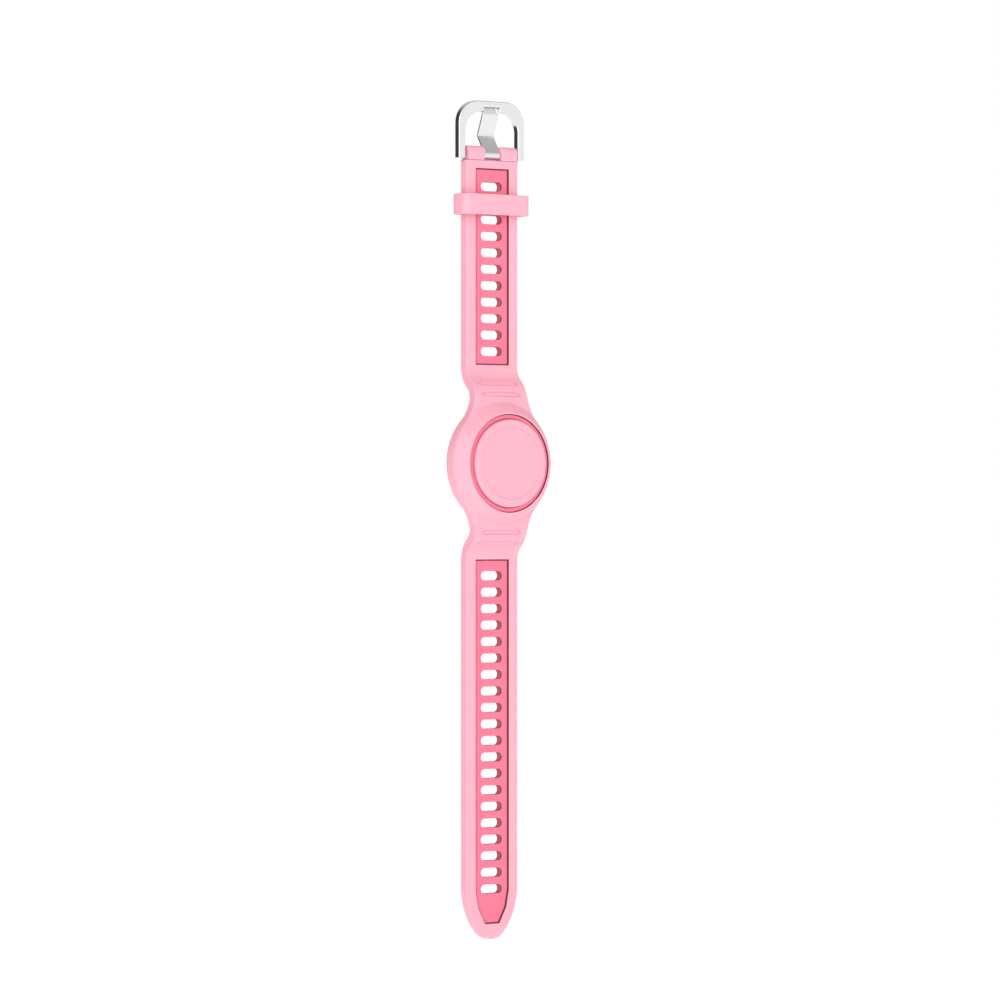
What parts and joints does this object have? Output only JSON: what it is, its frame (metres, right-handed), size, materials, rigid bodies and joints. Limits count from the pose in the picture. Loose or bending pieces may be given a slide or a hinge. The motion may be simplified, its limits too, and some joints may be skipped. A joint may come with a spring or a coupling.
{
  "type": "fitness tracker band",
  "caption": "Soft two-tone slotted wrist strap with a round pod holding a removable screenless tracker, a sliding keeper and a steel pin buckle.",
  "frame": {"origin": "centre of the pod's back face, where it rests on the wrist", "axes": "+Z along the straight strap from the pod to the buckle, -Y out of the pod's front face, +X to the right seen from the front"},
  "size_m": [0.037, 0.0135, 0.2541],
  "materials": {
    "silicone_light": "soft matte silicone, light pink",
    "silicone_dark": "soft matte silicone, deeper pink",
    "buckle_steel": "satin brushed stainless steel",
    "bar_steel": "turned steel",
    "housing_plastic": "fine matte moulded plastic, deeper pink",
    "cap_plastic": "soft-touch matte plastic, light pink",
    "seal_rubber": "black sealing rubber",
    "screw_steel": "plated steel",
    "board_laminate": "green solder mask",
    "chip_black": "black moulded epoxy",
    "can_steel": "nickel-plated can",
    "ceramic_white": "glazed ceramic",
    "switch_metal": "tinned cover",
    "contact_gold": "gold-plated spring metal"
  },
  "bodies": {
    "pod": {"pod_holder": "silicone_light"},
    "buckle_strap_a": {"buckle_strap_inner": "silicone_light", "buckle_inlay_inner": "silicone_dark"},
    "buckle_strap_b": {"buckle_strap_outer": "silicone_light", "buckle_inlay_outer": "silicone_dark", "spring_bar_tube": "bar_steel", "spring_bar_spring": "bar_steel"},
    "tail_strap_a": {"tail_strap_1": "silicone_light", "tail_inlay_1": "silicone_dark"},
    "tail_strap_b": {"tail_strap_2": "silicone_light", "tail_inlay_2": "silicone_dark"},
    "tail_strap_c": {"tail_strap_3": "silicone_light", "tail_inlay_3": "silicone_dark"},
    "tail_strap_d": {"tail_strap_4": "silicone_light", "tail_inlay_4": "silicone_dark"},
    "keeper": {"keeper_loop": "silicone_light"},
    "buckle": {"buckle_frame": "buckle_steel"},
    "tongue": {"buckle_tongue": "buckle_steel"},
    "bar_tip_left": {"spring_bar_tip_left": "bar_steel"},
    "bar_tip_right": {"spring_bar_tip_right": "bar_steel"},
    "module": {"module_housing": "housing_plastic", "module_rear_case": "housing_plastic", "case_seal_ring": "seal_rubber", "housing_screws": "screw_steel", "button_gasket": "seal_rubber", "tact_switch": "switch_metal", "circuit_board": "board_laminate", "processor_chip": "chip_black", "memory_chip": "chip_black", "accelerometer_chip": "chip_black", "crystal": "can_steel", "chip_antenna": "ceramic_white", "vibration_motor": "can_steel", "battery_contact_negative": "contact_gold", "battery_contact_positive": "contact_gold", "coin_cell": "can_steel"},
    "face_cap": {"face_button": "cap_plastic"},
    "door": {"battery_door": "housing_plastic", "door_seal_ring": "seal_rubber"}
  },
  "joints": [
    {"name": "buckle_strap_curl", "type": "hinge", "parent": "pod", "child": "buckle_strap_a", "pos_m": [0, -0.00034, 0.027], "axis": [-1, 0, 0], "range_deg": [0, 35], "stiffness_Nm_per_rad": 0.03},
    {"name": "buckle_strap_curl_2", "type": "hinge", "parent": "buckle_strap_a", "child": "buckle_strap_b", "pos_m": [0, 0, 0.0465], "axis": [-1, 0, 0], "range_deg": [0, 45], "stiffness_Nm_per_rad": 0.03},
    {"name": "tail_strap_curl", "type": "hinge", "parent": "pod", "child": "tail_strap_a", "pos_m": [0, -0.00034, -0.027], "axis": [1, 0, 0], "range_deg": [0, 35], "stiffness_Nm_per_rad": 0.03},
    {"name": "tail_strap_curl_2", "type": "hinge", "parent": "tail_strap_a", "child": "tail_strap_b", "pos_m": [0, 0, -0.0515], "axis": [1, 0, 0], "range_deg": [0, 45], "stiffness_Nm_per_rad": 0.03},
    {"name": "tail_strap_curl_3", "type": "hinge", "parent": "tail_strap_b", "child": "tail_strap_c", "pos_m": [0, 0, -0.0765], "axis": [1, 0, 0], "range_deg": [0, 45], "stiffness_Nm_per_rad": 0.03},
    {"name": "tail_strap_curl_4", "type": "hinge", "parent": "tail_strap_c", "child": "tail_strap_d", "pos_m": [0, 0, -0.1015], "axis": [1, 0, 0], "range_deg": [0, 45], "stiffness_Nm_per_rad": 0.03},
    {"name": "keeper_slide", "type": "slide", "parent": "buckle_strap_b", "child": "keeper", "axis": [0, 0, 1], "range_m": [-0.024, 0.006]},
    {"name": "buckle_swing", "type": "hinge", "parent": "buckle_strap_b", "child": "buckle", "pos_m": [0, -0.0019, 0.0936], "axis": [1, 0, 0], "range_deg": [-90, 75]},
    {"name": "tongue_swing", "type": "hinge", "parent": "buckle", "child": "tongue", "pos_m": [0, -0.0019, 0.0936], "axis": [1, 0, 0], "range_deg": [0, 40]},
    {"name": "bar_tip_left_press", "type": "slide", "parent": "buckle_strap_b", "child": "bar_tip_left", "axis": [1, 0, 0], "range_m": [0, 0.0012], "stiffness_N_per_m": 900},
    {"name": "bar_tip_right_press", "type": "slide", "parent": "buckle_strap_b", "child": "bar_tip_right", "axis": [-1, 0, 0], "range_m": [0, 0.0012], "stiffness_N_per_m": 900, "deforming": ["spring_bar_spring"]},
    {"name": "module_lift_out", "type": "slide", "parent": "pod", "child": "module", "axis": [0, -1, 0], "range_m": [0, 0.016]},
    {"name": "face_button_press", "type": "slide", "parent": "module", "child": "face_cap", "axis": [0, 1, 0], "range_m": [0, 0.0004], "stiffness_N_per_m": 4000},
    {"name": "battery_door_turn", "type": "hinge", "parent": "module", "child": "door", "pos_m": [0, -0.00125, 0], "axis": [0, 1, 0], "range_deg": [0, 60]}
  ],
  "couplings": [
    {"joint": "buckle_strap_curl_2", "follows": "buckle_strap_curl", "ratio": 1.2857},
    {"joint": "tail_strap_curl_2", "follows": "tail_strap_curl", "ratio": 1.2857},
    {"joint": "tail_strap_curl_3", "follows": "tail_strap_curl", "ratio": 1.2857},
    {"joint": "tail_strap_curl_4", "follows": "tail_strap_curl", "ratio": 1.2857}
  ]
}
